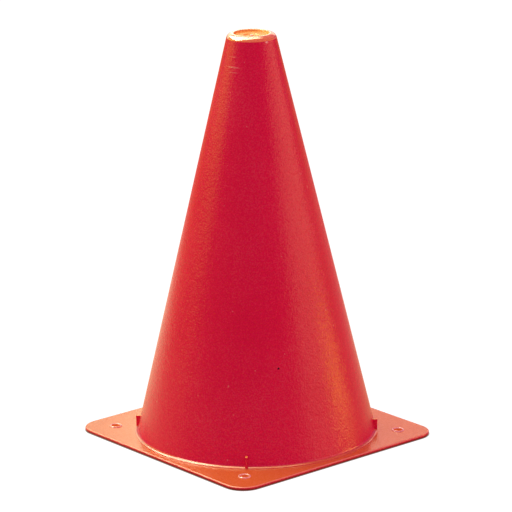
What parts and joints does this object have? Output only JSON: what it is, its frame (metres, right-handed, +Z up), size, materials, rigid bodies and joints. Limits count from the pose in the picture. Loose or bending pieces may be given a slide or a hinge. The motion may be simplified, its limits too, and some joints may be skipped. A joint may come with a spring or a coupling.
{
  "type": "traffic cone",
  "caption": "Small hollow traffic cone in one red-orange moulding, with a closed recessed crown, a square base plate, corner holes and stacking lugs.",
  "frame": {"origin": "bottom centre of the square base plate, on the floor", "axes": "+Z up along the cone's axis, +X and +Y square to the sides of the base plate"},
  "size_m": [0.144, 0.144, 0.2286],
  "materials": {
    "cone_plastic": "moulded gloss with fine grain"
  },
  "bodies": {
    "root": {"base_plate": "cone_plastic", "hole_rims": "cone_plastic", "cone_foot": "cone_plastic", "cone_wall": "cone_plastic", "stacking_lugs": "cone_plastic", "crown_rim": "cone_plastic", "crown_disc": "cone_plastic", "gate_mark": "cone_plastic"}
  },
  "joints": []
}
